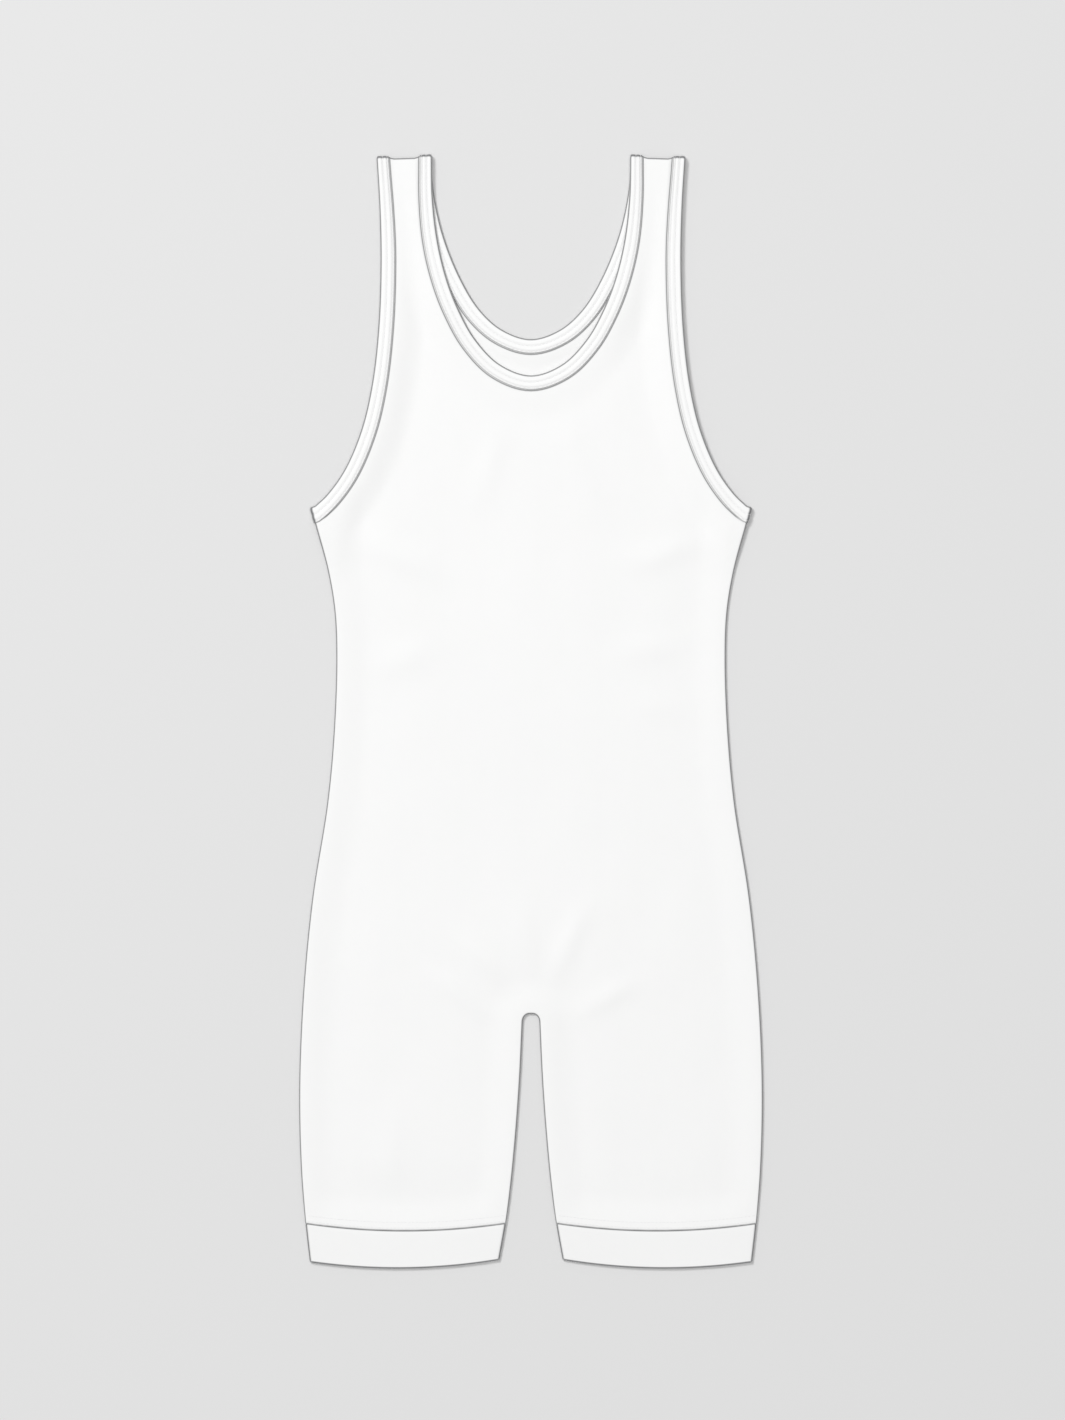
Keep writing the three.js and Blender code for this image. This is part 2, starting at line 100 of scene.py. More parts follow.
boundThick = garment["wall"] + 2 * (garment["gap"] + garment["bindingWall"])
rawInset = garment["bindingWall"] + garment["gap"]  # the cloth's raw edge stops this far inside the nose
levels = {  # heights of the middle of each cloth
    "open": {"front": garment["wall"] * 1.5 + garment["gap"], "back": garment["wall"] / 2},
    "bound": {"front": boundThick * 1.5 + garment["gap"], "back": boundThick / 2},
    "fold": {"front": garment["wall"] / 2 + garment["foldRise"], "back": garment["wall"] / 2},
    "hem": {"front": garment["bandWall"] * 1.5 + garment["gap"], "back": garment["bandWall"] / 2},
    "neckCentre": {"front": garment["wall"] + garment["gap"] + boundThick / 2, "back": boundThick / 2},
}
sideTop = edgeKnots["side"][0][0] + rawInset  # the binding's nose reaches the knot itself
comesDown = {
    "neck": (108, 178),  # drops between which the front neckline comes down off the back one
    "side": (14, 62),  # distances below the underarm over which the side loses the binding's height
    "hem": 34,  # distance above the band seam over which a fold comes to the band's height
}
boundRoll = (levels["bound"]["front"] - levels["bound"]["back"]) / 2 - garment["gap"] / 2 + boundThick / 2


def mix(a, b, share):
    return a + (b - a) * share


def ease(low, high, value):  # 0 below low, 1 above high, and a smooth step between
    share = min(max((value - low) / (high - low), 0), 1)
    return share * share * (3 - 2 * share)


def onPlan(drop, half):
    return Vector((half, garment["topY"] - drop, 0))


def dropOf(at):
    return garment["topY"] - at.y


# Lines: lists of points about a millimetre apart.
def smoothLine(points, perSpan=48):
    ends = [2 * points[0] - points[1], *points, 2 * points[-1] - points[-2]]
    line = [points[0].copy()]
    for a, b, c, d in zip(ends, ends[1:], ends[2:], ends[3:]):
        before, along, after = (math.sqrt((q - p).length) for p, q in ((a, b), (b, c), (c, d)))
        leave = ((b - a) / before - (c - a) / (before + along) + (c - b) / along) * along
        arrive = ((c - b) / along - (d - b) / (along + after) + (d - c) / after) * along
        for i in range(1, perSpan + 1):
            t = i / perSpan
            line.append(
                b * (2 * t**3 - 3 * t**2 + 1)
                + leave * (t**3 - 2 * t**2 + t)
                + c * (3 * t**2 - 2 * t**3)
                + arrive * (t**3 - t**2)
            )
    return line


def edgeLine(name):
    knots = [onPlan(*knot) for knot in edgeKnots[name]]
    if not name.endswith("Neck"):
        return smoothLine(knots)
    whole = smoothLine(knots + [Vector((-at.x, at.y, 0)) for at in knots[-2::-1]])
    return whole[: len(whole) // 2 + 1]


def reachOf(line):  # the distance along the line at each of its points
    reach = [0]
    for a, b in zip(line, line[1:]):
        reach.append(reach[-1] + (b - a).length)
    return reach


def evenly(line, count):
    reach = reachOf(line)
    places = []
    for i in range(count + 1):
        wanted = reach[-1] * i / count
        j = min(max(bisect.bisect_right(reach, wanted) - 1, 0), len(line) - 2)
        share = (wanted - reach[j]) / max(reach[j + 1] - reach[j], 1e-9)
        places.append(line[j].lerp(line[j + 1], min(share, 1)))
    return places


def cutAt(line, drop):  # the parts of a line above and below a drop
    for i, (a, b) in enumerate(zip(line, line[1:])):
        if dropOf(b) >= drop:
            cut = a.lerp(b, (drop - dropOf(a)) / (dropOf(b) - dropOf(a)))
            return [*line[: i + 1], cut], [cut, *line[i + 1 :]]
    return line, []


def runAlong(line, count):  # evenly spaced places, each with its sideways direction in plan
    places = evenly(line, count)
    run = []
    for i, at in enumerate(places):
        ahead = places[min(i + 1, count)] - places[max(i - 1, 0)]
        run.append((at, Vector((ahead.y, -ahead.x, 0)).normalized()))
    return run


def stepsFor(line, step):
    return max(round(reachOf(line)[-1] / step), 2)


# Runs: the edges as the cloth meets them, at any spacing.
def neckLevel(face, drop):
    return mix(levels["bound"][face], levels["neckCentre"][face], ease(*comesDown["neck"], drop))


def neckRun(face, step):
    half = edgeLine(face + "Neck")
    whole = half + [Vector((-at.x, at.y, 0)) for at in half[-2::-1]]
    start = cutAt(half, boundRoll)[0][-1]
    rest = [start, *[at for at in whole if dropOf(at) > boundRoll]]
    rest.append(Vector((-start.x, start.y, 0)))
    count = stepsFor(rest, step) // 2
    run = []
    for at, beside in runAlong(rest, 2 * count)[: count + 1]:
        raw = at - beside * rawInset
        run.append({"at": raw, "hole": beside, "inside": raw - beside * garment["stripWide"]})
    middle = run[-1]
    middle["at"].x = middle["inside"].x = 0
    middle["hole"] = Vector((0, 1, 0))
    return run


def sideLevels(drop):
    leavesBinding = ease(*comesDown["side"], drop - sideTop)
    nearsHem = 1 - ease(0, comesDown["hem"], bandSeam - drop)
    found = {"flat": mix(garment["boundFlat"], garment["foldFlat"], leavesBinding)}
    for face in ("front", "back"):
        onSide = mix(levels["bound"][face], levels["fold"][face], leavesBinding)
        found[face] = mix(onSide, levels["hem"][face], nearsHem)
    return found


def inseamLevels(drop):
    nearsHem = 1 - ease(0, comesDown["hem"], bandSeam - drop)
    found = {"flat": garment["foldFlat"]}
    for face in ("front", "back"):
        found[face] = mix(levels["fold"][face], levels["hem"][face], nearsHem)
    return found


def rollOf(heights):
    return (heights["front"] - heights["back"]) / 2 - garment["gap"] / 2 + garment["wall"] / 2


def foldStation(at, out, heights):
    return {"at": at - out * rollOf(heights), "out": out, "heights": heights}


sideLine = cutAt(cutAt(edgeLine("side"), bandSeam)[0], sideTop)[1]
inseamLine = cutAt(edgeLine("inseam"), bandSeam)[0]


def runToHem(line, count, fine):  # where fine rows are wanted, the last of them lie close to the seam
    if not fine:
        return runAlong(line, count)
    long, short = cutAt(line, bandSeam - hemRows["count"] * hemRows["step"])
    return runAlong(long, count)[:-1] + runAlong(short, hemRows["count"])


def sideRun(count, fromStep=False, fine=False):
    line = cutAt(sideLine, sideTop + comesDown["side"][0])[1] if fromStep else sideLine
    return [foldStation(at, -beside, sideLevels(dropOf(at))) for at, beside in runToHem(line, count, fine)]


def archRun(count):
    startDrop, startHalf = edgeKnots["inseam"][0]
    wide, low = startHalf - crotch["flatHalf"], startDrop - crotch["drop"]
    heights = inseamLevels(crotch["drop"])
    run = []
    for i in range(count + 1):
        turn = i / count * math.pi / 2
        half = 0 if i == 0 else crotch["flatHalf"] + wide * math.sin(turn)
        at = onPlan(startDrop - low * math.cos(turn), half)
        run.append(foldStation(at, Vector((-math.sin(turn), -math.cos(turn), 0)), heights))
    return run


def inseamRun(count, fine=False):
    run = runToHem(inseamLine, count, fine)
    return [foldStation(at, beside, inseamLevels(dropOf(at))) for at, beside in run]


corner = sideRun(400)[0]
belowCorner = sideRun(400, fromStep=True)[0]
armholeLine = cutAt(edgeLine("armhole"), edgeKnots["armhole"][0][0] + boundRoll)[1]
armholeLength = reachOf(armholeLine)[-1]


def armholeRun(count):
    run = []
    for at, beside in runAlong(armholeLine, count):
        raw = at + beside * rawInset
        run.append({"at": raw, "hole": -beside, "inside": raw + beside * garment["stripWide"]})
    toSide = belowCorner["at"] - corner["at"]
    for i, station in enumerate(run):
        turned = 1 - ease(0, turnWithin, (count - i) * armholeLength / count)
        inward = (station["inside"] - station["at"]).normalized()
        inward = inward.lerp(toSide.normalized(), turned).normalized()
        if i == count:
            station["at"] = corner["at"].copy()
        station["inside"] = station["at"] + inward * mix(garment["stripWide"], toSide.length, turned)
    return run


shoulder = [neckRun("front", 3)[0]["at"], armholeRun(9)[0]["at"]]
alongShoulder = (shoulder[1] - shoulder[0]).normalized()
shoulderOut = up.cross(alongShoulder)
boundFold = {face: levels["bound"][face] for face in ("front", "back")}
hemEnds = inseamRun(4)[-1]["at"], sideRun(4)[-1]["at"]


def hemPoint(share):
    at = hemEnds[0].lerp(hemEnds[1], share)
    at.y += garment["gap"] / 2 - 4 * share * (1 - share) * garment["seamSag"]
    return at


# Each face's edges, to find how high the cloth lies between them. The neck's samples are a step apart in mm,
# and each of the others is a count.
sampled = {"neckStep": 1, "arm": 320, "over": 42, "side": 1160, "arch": 10, "inseam": 165, "hem": 160}


def edgeTree(samples):
    tree = KDTree(len(samples))
    for i, (at, _, _) in enumerate(samples):
        tree.insert((at.x, at.y, 0), i)
    tree.balance()
    return tree, samples


def outlineOf(face):
    bound, flat = levels["bound"][face], garment["boundFlat"]

    def shares(name):
        return [i / sampled[name] for i in range(sampled[name] + 1)]

    def folded(run):
        return [(s["at"], s["heights"][face], s["heights"]["flat"]) for s in run]

    neck = [(s["at"], neckLevel(face, dropOf(s["at"])), flat) for s in neckRun(face, sampled["neckStep"])]
    arm = [(s["at"], bound, flat) for s in armholeRun(sampled["arm"])]
    over = [(shoulder[0].lerp(shoulder[1], share), bound, flat) for share in shares("over")]
    side = folded(sideRun(sampled["side"]))
    inner = folded(archRun(sampled["arch"]) + inseamRun(sampled["inseam"])[1:])
    hem = [(hemPoint(share), levels["hem"][face], garment["hemFlat"]) for share in shares("hem")]
    return [edgeTree(samples) for samples in (neck, arm, over, side, inner, hem)]


outlines = {face: outlineOf(face) for face in ("front", "back")}


def clothHeight(face, at):
    spare, weights, lifted = 1, 0, 0
    for tree, samples in outlines[face]:
        _, i, distance = tree.find((abs(at.x), at.y, 0))
        _, height, flat = samples[i]
        near = 1 - ease(flat, flat + garment["settle"][face], distance)
        spare *= 1 - near
        weight = near / (distance + 1) ** 2
        weights += weight
        lifted += weight * height
    opened = levels["open"][face]
    return opened if weights == 0 else mix(opened, lifted / weights, 1 - spare)


# Beside a binding and a band the panel is drawn in to a narrow furrow, on the cloth that faces up or down,
# and the furrow also gets painted shade.
furrow = {"depth": 0.36, "beside": 0.9, "half": 0.5, "hemHalf": 0.8, "endsBySide": (1.5, 7), "tilt": 0.8}


def widthAt(at):
    return mix(bindingWidth["shoulder"], bindingWidth["body"], ease(0, bindingWidth["fullBelow"], dropOf(at)))


def drawnIn(face):
    (neckTree, _), (armTree, _), _, (sideTree, _), _, (hemTree, _) = outlines[face]

    def depthAt(at):
        flat = Vector((abs(at.x), at.y, 0))
        middle = widthAt(at) - rawInset + furrow["beside"]
        off = min(abs(tree.find(flat)[2] - middle) for tree in (neckTree, armTree)) / furrow["half"]
        low = hemTree.find(flat)[2] / furrow["hemHalf"]
        if min(off, low) > 3:
            return 0
        bySide = ease(*furrow["endsBySide"], sideTree.find(flat)[2])
        return max(math.exp(-(off**2)) * bySide, math.exp(-(low**2)))

    return depthAt


# Mesh helpers.
def addGrid(bm, columns, rows, placeAt):
    chart = bm.loops.layers.uv.get("cloth") or bm.loops.layers.uv.new("cloth")
    made = bmesh.ops.create_grid(bm, x_segments=columns, y_segments=rows, size=0.5)["verts"]
    flat = {}
    for vert in made:
        column, row = round((vert.co.x + 0.5) * columns), round((vert.co.y + 0.5) * rows)
        vert.co, flat[vert] = placeAt(column, row)
    for face in {face for vert in made for face in vert.link_faces}:
        for loop in face.loops:
            loop[chart].uv = flat[loop.vert]


def quarterRoll(at, out, heights, face, turn):
    sign = 1 if face == "front" else -1
    middle = (heights["front"] + heights["back"]) / 2 + sign * garment["gap"] / 2
    radius = (heights["front"] - heights["back"]) / 2 - garment["gap"] / 2
    normal = out * math.sin(turn) + up * sign * math.cos(turn)
    return Vector((at.x, at.y, middle)) + normal * radius, normal


def sewTogether(bm, gap=0.02):
    bmesh.ops.remove_doubles(bm, verts=bm.verts, dist=gap)
    bmesh.ops.dissolve_degenerate(bm, edges=bm.edges, dist=gap / 4)
    bmesh.ops.recalc_face_normals(bm, faces=bm.faces)


def thicken(piece, wall):
    shell = piece.modifiers.new("wall", "SOLIDIFY")
    shell.thickness = wall * mm
    shell.offset = 0
    solid = bpy.data.meshes.new_from_object(piece.evaluated_get(bpy.context.evaluated_depsgraph_get()))
    piece.modifiers.clear()
    piece.data = solid
    solid.name = piece.name


# Painted shade: the colour is darkened where cloth turns over and where it is drawn in, and less on what
# faces sideways.
paintedEdgeShade = {
    "foldTilt": (0.3, 0.62), "noseTilt": (0.2, 0.55), "spared": (0.8, 0.97), "sparedShare": 0.8,
    "shadeTint": (0.12, 0.123, 0.13),
}


def shadeEdges(mesh, rim, drawnIn=None):
    places = [vert.co.copy() for vert in mesh.vertices]
    normals = [vert.normal.copy() for vert in mesh.vertices]
    shade = []
    for place, normal in zip(places, normals):
        tilt = math.hypot(normal.x, normal.y)
        # painted shade on rolled edges and binding noses, by how far the normal tilts from straight up or
        # down
        turned = ease(*paintedEdgeShade[rim], tilt) * (1 - paintedEdgeShade["sparedShare"] * ease(*paintedEdgeShade["spared"], tilt))
        if drawnIn:
            depth = drawnIn(place / mm)
            if tilt < furrow["tilt"]:
                place.z -= math.copysign(depth * furrow["depth"] * mm, normal.z)
            # the furrow is pressed down and also given painted shade
            turned = max(turned, depth)
        shade.append(turned)
    mesh.vertices.foreach_set("co", [value for place in places for value in place])
    mesh.update()
    mesh.attributes.new("edgeShade", "FLOAT", "POINT").data.foreach_set("value", shade)


def finishPiece(bm, name, material, nodes=(), wall=0, sharpAngle=55, rim="foldTilt", drawnIn=None):
    bmesh.ops.scale(bm, vec=(mm, mm, mm), verts=bm.verts)
    mesh = bpy.data.meshes.new(name)
    bm.to_mesh(mesh)
    bm.free()
    piece = bpy.data.objects.new(name, mesh)
    bpy.context.collection.objects.link(piece)
    if wall:
        thicken(piece, wall)
    if nodes:
        shadeEdges(piece.data, rim, drawnIn)
    piece.data.shade_smooth()
    piece.data.set_sharp_from_angle(angle=math.radians(sharpAngle))
    piece.data.materials.clear()
    piece.data.materials.append(material)
    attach(piece, "root")
    if nodes:
        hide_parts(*nodes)
    return piece


# Node groups that the cloths share.
def newGroup(name, inputs, outputs):
    group = bpy.data.node_groups.new(name, "ShaderNodeTree")
    for socket, kind, value in inputs:
        made = group.interface.new_socket(socket, in_out="INPUT", socket_type=kind)
        if value is not None:
            made.default_value = value
    for socket, kind in outputs:
        group.interface.new_socket(socket, in_out="OUTPUT", socket_type=kind)
    return group, group.nodes.new("NodeGroupInput"), group.nodes.new("NodeGroupOutput")


def mathNode(tree, operation, *values):
    node = tree.nodes.new("ShaderNodeMath")
    node.operation = operation
    for socket, value in zip(node.inputs, values):
        if isinstance(value, (int, float)):
            socket.default_value = value
        else:
            tree.links.new(value, socket)
    return node.outputs[0]


knitCut = {"wales": 1300.0, "courses": 1700.0, "loopDepth": 0.45}


def knitGroup():  # columns of small slanted loops, as on the face of a fine warp knit; Hollow is painted shade for the loops' valleys
    group, start, end = newGroup(
        "knit loops",
        [("Vector", "NodeSocketVector", None), ("Wales per m", "NodeSocketFloat", knitCut["wales"]),
         ("Courses per m", "NodeSocketFloat", knitCut["courses"])],
        [("Height", "NodeSocketFloat"), ("Hollow", "NodeSocketFloat")],
    )
    apart = group.nodes.new("ShaderNodeSeparateXYZ")
    group.links.new(start.outputs["Vector"], apart.inputs[0])
    wale = mathNode(group, "MULTIPLY", apart.outputs["X"], start.outputs["Wales per m"])
    course = mathNode(group, "MULTIPLY", apart.outputs["Y"], start.outputs["Courses per m"])
    slant = mathNode(group, "PINGPONG", wale, 0.5)
    rib = mathNode(group, "SINE", mathNode(group, "MULTIPLY", slant, math.pi))
    loopTurn = mathNode(group, "MULTIPLY", mathNode(group, "ADD", course, slant), 2 * math.pi)
    loop = mathNode(group, "MULTIPLY_ADD", mathNode(group, "SINE", loopTurn), 0.5, 0.5)
    deep = knitCut["loopDepth"]
    height = mathNode(group, "MULTIPLY", rib, mathNode(group, "MULTIPLY_ADD", loop, deep, 1 - deep))
    hollow = mathNode(group, "SUBTRACT", 1.0, height)
    group.links.new(height, end.inputs["Height"])
    group.links.new(hollow, end.inputs["Hollow"])
    return group


handling = {"scale": 7.0, "broad": (1.0, 3), "fine": (9.0, 4)}  # each noise has its own scale and detail


def handleGroup():  # slow, faint changes of tone and gloss, as handled white cloth has
    group, start, end = newGroup(
        "handled cloth",
        [("Vector", "NodeSocketVector", None), ("Scale", "NodeSocketFloat", handling["scale"])],
        [("Tone", "NodeSocketFloat"), ("Gloss", "NodeSocketFloat")],
    )
    for name, result in (("broad", "Tone"), ("fine", "Gloss")):
        scale, detail = handling[name]
        cloud = group.nodes.new("ShaderNodeTexNoise")
        cloud.inputs["Detail"].default_value = detail
        group.links.new(start.outputs["Vector"], cloud.inputs["Vector"])
        group.links.new(mathNode(group, "MULTIPLY", start.outputs["Scale"], scale), cloud.inputs["Scale"])
        group.links.new(cloud.outputs[0], end.inputs[result])
    return group


def edgeGroup():  # paints shade: greys a colour by the piece's own edgeShade mask
    group, start, end = newGroup(
        "edge shade",
        [("Color", "NodeSocketColor", None), ("Shade", "NodeSocketFloat", 0.0),
         ("Depth", "NodeSocketFloat", 0.5)],
        [("Color", "NodeSocketColor")],
    )
    darker = group.nodes.new("ShaderNodeMix")
    darker.data_type = "RGBA"
    darker.blend_type = "MULTIPLY"
    darker.inputs["B"].default_value = (*paintedEdgeShade["shadeTint"], 1)
    group.links.new(start.outputs["Color"], darker.inputs["A"])
    share = mathNode(group, "MULTIPLY", start.outputs["Shade"], start.outputs["Depth"])
    group.links.new(share, darker.inputs[0])
    group.links.new(darker.outputs["Result"], end.inputs["Color"])
    return group


knitLoops = knitGroup()
handledCloth = handleGroup()
paintedShadeNodes = edgeGroup()


def clothMaterial(name, look):
    material = bpy.data.materials.new(name)
    material.use_nodes = True
    tree = material.node_tree
    shader = tree.nodes["Principled BSDF"]
    chart = tree.nodes.new("ShaderNodeUVMap")
    chart.uv_map = "cloth"
    turn = tree.nodes.new("ShaderNodeMapping")
    turn.inputs["Rotation"].default_value = (0, 0, look["turn"])
    tree.links.new(chart.outputs[0], turn.inputs["Vector"])
    knit = tree.nodes.new("ShaderNodeGroup")
    knit.node_tree = knitLoops
    knit.inputs["Wales per m"].default_value = look["wales"]
    knit.inputs["Courses per m"].default_value = look["courses"]
    tree.links.new(turn.outputs[0], knit.inputs["Vector"])
    handled = tree.nodes.new("ShaderNodeGroup")
    handled.node_tree = handledCloth
    place = tree.nodes.new("ShaderNodeTexCoord")
    tree.links.new(place.outputs["Object"], handled.inputs["Vector"])

    tone = tree.nodes.new("ShaderNodeMix")
    tone.data_type = "RGBA"
    tone.inputs["A"].default_value = (*look["color"], 1)
    tone.inputs["B"].default_value = (*look["shade"], 1)
    # the darker colour mixes in random tone, and painted shade in the knit's hollows
    toneShare = mathNode(tree, "MULTIPLY", handled.outputs["Tone"], look["toneShare"])
    hollowShadeShare = mathNode(tree, "MULTIPLY", knit.outputs["Hollow"], look["hollowShadeShare"])
    tree.links.new(mathNode(tree, "ADD", toneShare, hollowShadeShare), tone.inputs["Factor"])
    # painted shade along turned edges and furrows, read from the edgeShade attribute
    stored = tree.nodes.new("ShaderNodeAttribute")
    stored.attribute_name = "edgeShade"
    soil = tree.nodes.new("ShaderNodeGroup")
    soil.node_tree = paintedShadeNodes
    soil.inputs["Depth"].default_value = look["edgeDepth"]
    tree.links.new(tone.outputs["Result"], soil.inputs["Color"])
    tree.links.new(stored.outputs["Fac"], soil.inputs["Shade"])
    tree.links.new(soil.outputs[0], shader.inputs["Base Color"])
    leastRough = look["roughness"] - look["roughSpread"] / 2
    rough = mathNode(tree, "MULTIPLY_ADD", handled.outputs["Gloss"], look["roughSpread"], leastRough)
    tree.links.new(rough, shader.inputs["Roughness"])
    bump = tree.nodes.new("ShaderNodeBump")
    bump.inputs["Distance"].default_value = look["relief"] * mm
    bump.inputs["Strength"].default_value = look["bump"]
    tree.links.new(knit.outputs["Height"], bump.inputs["Height"])
    tree.links.new(bump.outputs[0], shader.inputs["Normal"])
    shader.inputs["Sheen Weight"].default_value = look["sheen"]
    shader.inputs["Sheen Roughness"].default_value = look["sheenRoughness"]
    shader.inputs["Specular IOR Level"].default_value = look["specular"]
    return material


# edgeDepth is how strongly the painted edge shade greys the cloth
bodyLook = {
    "color": (0.89, 0.89, 0.885), "shade": (0.72, 0.725, 0.735), "toneShare": 0.08, "hollowShadeShare": 0.22,
    "roughness": 0.5, "roughSpread": 0.16, "relief": 0.15, "bump": 0.6, "sheen": 0.12, "sheenRoughness": 0.4,
    "specular": 0.4, "edgeDepth": 0.88, "wales": knitCut["wales"], "courses": knitCut["courses"], "turn": 0,
}
bodyKnit = clothMaterial("white body knit", bodyLook)
bindingKnit = clothMaterial(
    "white binding knit", {**bodyLook, "color": (0.9, 0.9, 0.895), "wales": 1500, "courses": 1900}
)
bandKnit = clothMaterial("white band knit", {**bodyLook, "color": (0.88, 0.88, 0.875), "roughness": 0.54})


thread = {"dark": (0.74, 0.74, 0.75), "light": (0.84, 0.84, 0.84), "twist": 2600, "roughness": 0.45}


def threadMaterial():
    material = bpy.data.materials.new("sewing thread")
    material.use_nodes = True
    tree = material.node_tree
    shader = tree.nodes["Principled BSDF"]
    place = tree.nodes.new("ShaderNodeTexCoord")
    twist = tree.nodes.new("ShaderNodeTexWave")
    twist.bands_direction = "DIAGONAL"
    twist.inputs["Scale"].default_value = thread["twist"]
    tree.links.new(place.outputs["Object"], twist.inputs["Vector"])
    tone = tree.nodes.new("ShaderNodeMix")
    tone.data_type = "RGBA"
    tone.inputs["A"].default_value = (*thread["dark"], 1)
    tone.inputs["B"].default_value = (*thread["light"], 1)
    tree.links.new(twist.outputs["Fac"], tone.inputs["Factor"])
    tree.links.new(tone.outputs["Result"], shader.inputs["Base Color"])
    shader.inputs["Roughness"].default_value = thread["roughness"]
    return material


threadFinish = threadMaterial()
print("materials ready")

# The two panels.
panelCut = {
    "neckStep": 3.1, "chest": 30, "body": 116, "arch": 10, "leg": 54, "across": 50, "fold": 7,
    "evenShare": 0.4, "shoulderDip": 1.2, "dipWithin": 3.5, "dipRows": 12, "merge": 0.06,
    "underBinding": (0.4, 0.75),  # columns under the binding, as shares of its width
    "beside": (-0.45, 0.1, 0.35, 0.6, 0.85, 1.1, 1.35, 1.7),  # fine columns either side of the furrow
}
# The front's slow swell, and how its folds start, bend and end.
relief = {
    "calm": (9, 60), "level": 0.8, "swell": 0.9, "broad": (95, 140), "fine": (38, 55), "fineShare": 0.4,
    "foldHeight": 1.5, "bend": 4, "bends": 2.2, "past": 0.1, "full": 0.25, "fades": 0.6,
}
# Faint folds in the front: where each starts and ends as drop and half, its height and its width.
softFolds = [
    ((686, 10), (600, 46), 0.9, 9),
    ((690, -9), (622, -60), 0.8, 8),
    ((684, 3), (590, -8), 0.5, 10),
    ((700, 26), (668, 92), 0.7, 9),
    ((702, -24), (660, -84), 0.7, 8),
    ((312, 158), (330, 70), 0.8, 11),
    ((300, -156), (346, -66), 0.9, 12),
    ((392, 148), (404, 60), 0.6, 12),
    ((418, -150), (398, -72), 0.7, 13),
    ((455, 140), (440, 84), 0.4, 10),
    ((212, 30), (300, 52), 0.4, 12),
    ((216, -22), (290, -46), 0.5, 11),
    ((842, 60), (742, 52), 0.5, 13),
    ((846, -118), (752, -110), 0.5, 12),
]


def calmAt(at):  # 1 out on the open cloth, falling to 0 at every edge
    calm = 1
    for tree, _ in outlines["front"]:
        calm *= ease(*relief["calm"], tree.find((abs(at.x), at.y, 0))[2])
    return calm


def swellAt(at, size, seed):
    return noise.noise(Vector((at.x / size[0], at.y / size[1], seed)))


def reliefAt(at):
    billow = swellAt(at, relief["broad"], 3.1) + relief["fineShare"] * swellAt(at, relief["fine"], 8)
    raised = relief["level"] + relief["swell"] * billow
    past = relief["past"]
    for start, end, height, width in softFolds:
        a, b = onPlan(*start), onPlan(*end)
        along = (b - a).normalized()
        share = (at - a).dot(along) / (b - a).length
        if -past < share < 1 + past:
            bend = relief["bend"] * noise.noise(Vector((share * relief["bends"], height * 9, width)))
            beside = (at - a).dot(Vector((-along.y, along.x, 0))) + bend
            ridge = relief["foldHeight"] * height * math.exp(-((beside / width) ** 2))
            ridge *= ease(-past, relief["full"], share) * (1 - ease(relief["fades"], 1 + past, share))
            raised += ridge
    return max(raised, 0)


def stripShares(at):  # columns from the raw edge in under the binding and out past its furrow
    edge = widthAt(at) - rawInset
    columns = [0, *[edge * share for share in panelCut["underBinding"]]]
    columns += [*[edge + beside for beside in panelCut["beside"]], garment["stripWide"]]
    return [column / garment["stripWide"] for column in columns]


